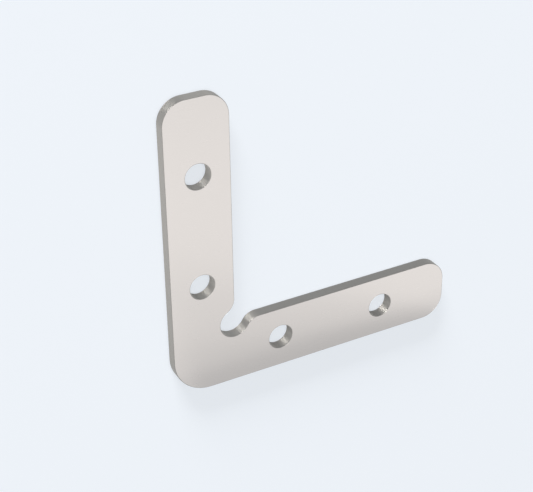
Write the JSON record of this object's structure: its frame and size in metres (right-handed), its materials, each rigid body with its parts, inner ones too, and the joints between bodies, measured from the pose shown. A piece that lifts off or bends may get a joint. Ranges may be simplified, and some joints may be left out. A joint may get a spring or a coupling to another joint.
{
  "type": "corner coupler",
  "caption": "Flat L-shaped plate with rounded corners, plain screw holes along each arm and a round relief at the inner corner, for joining frame members at a right angle.",
  "frame": {"origin": "crossing of the arms' centre lines, along which the screw holes lie, on the back face", "axes": "+X and +Y along the arms towards their tips, +Z out of the front face"},
  "size_m": [0.08, 0.08, 0.003],
  "materials": {
    "satin_stainless": "fine satin"
  },
  "bodies": {
    "root": {"corner_plate": "satin_stainless"}
  },
  "joints": []
}
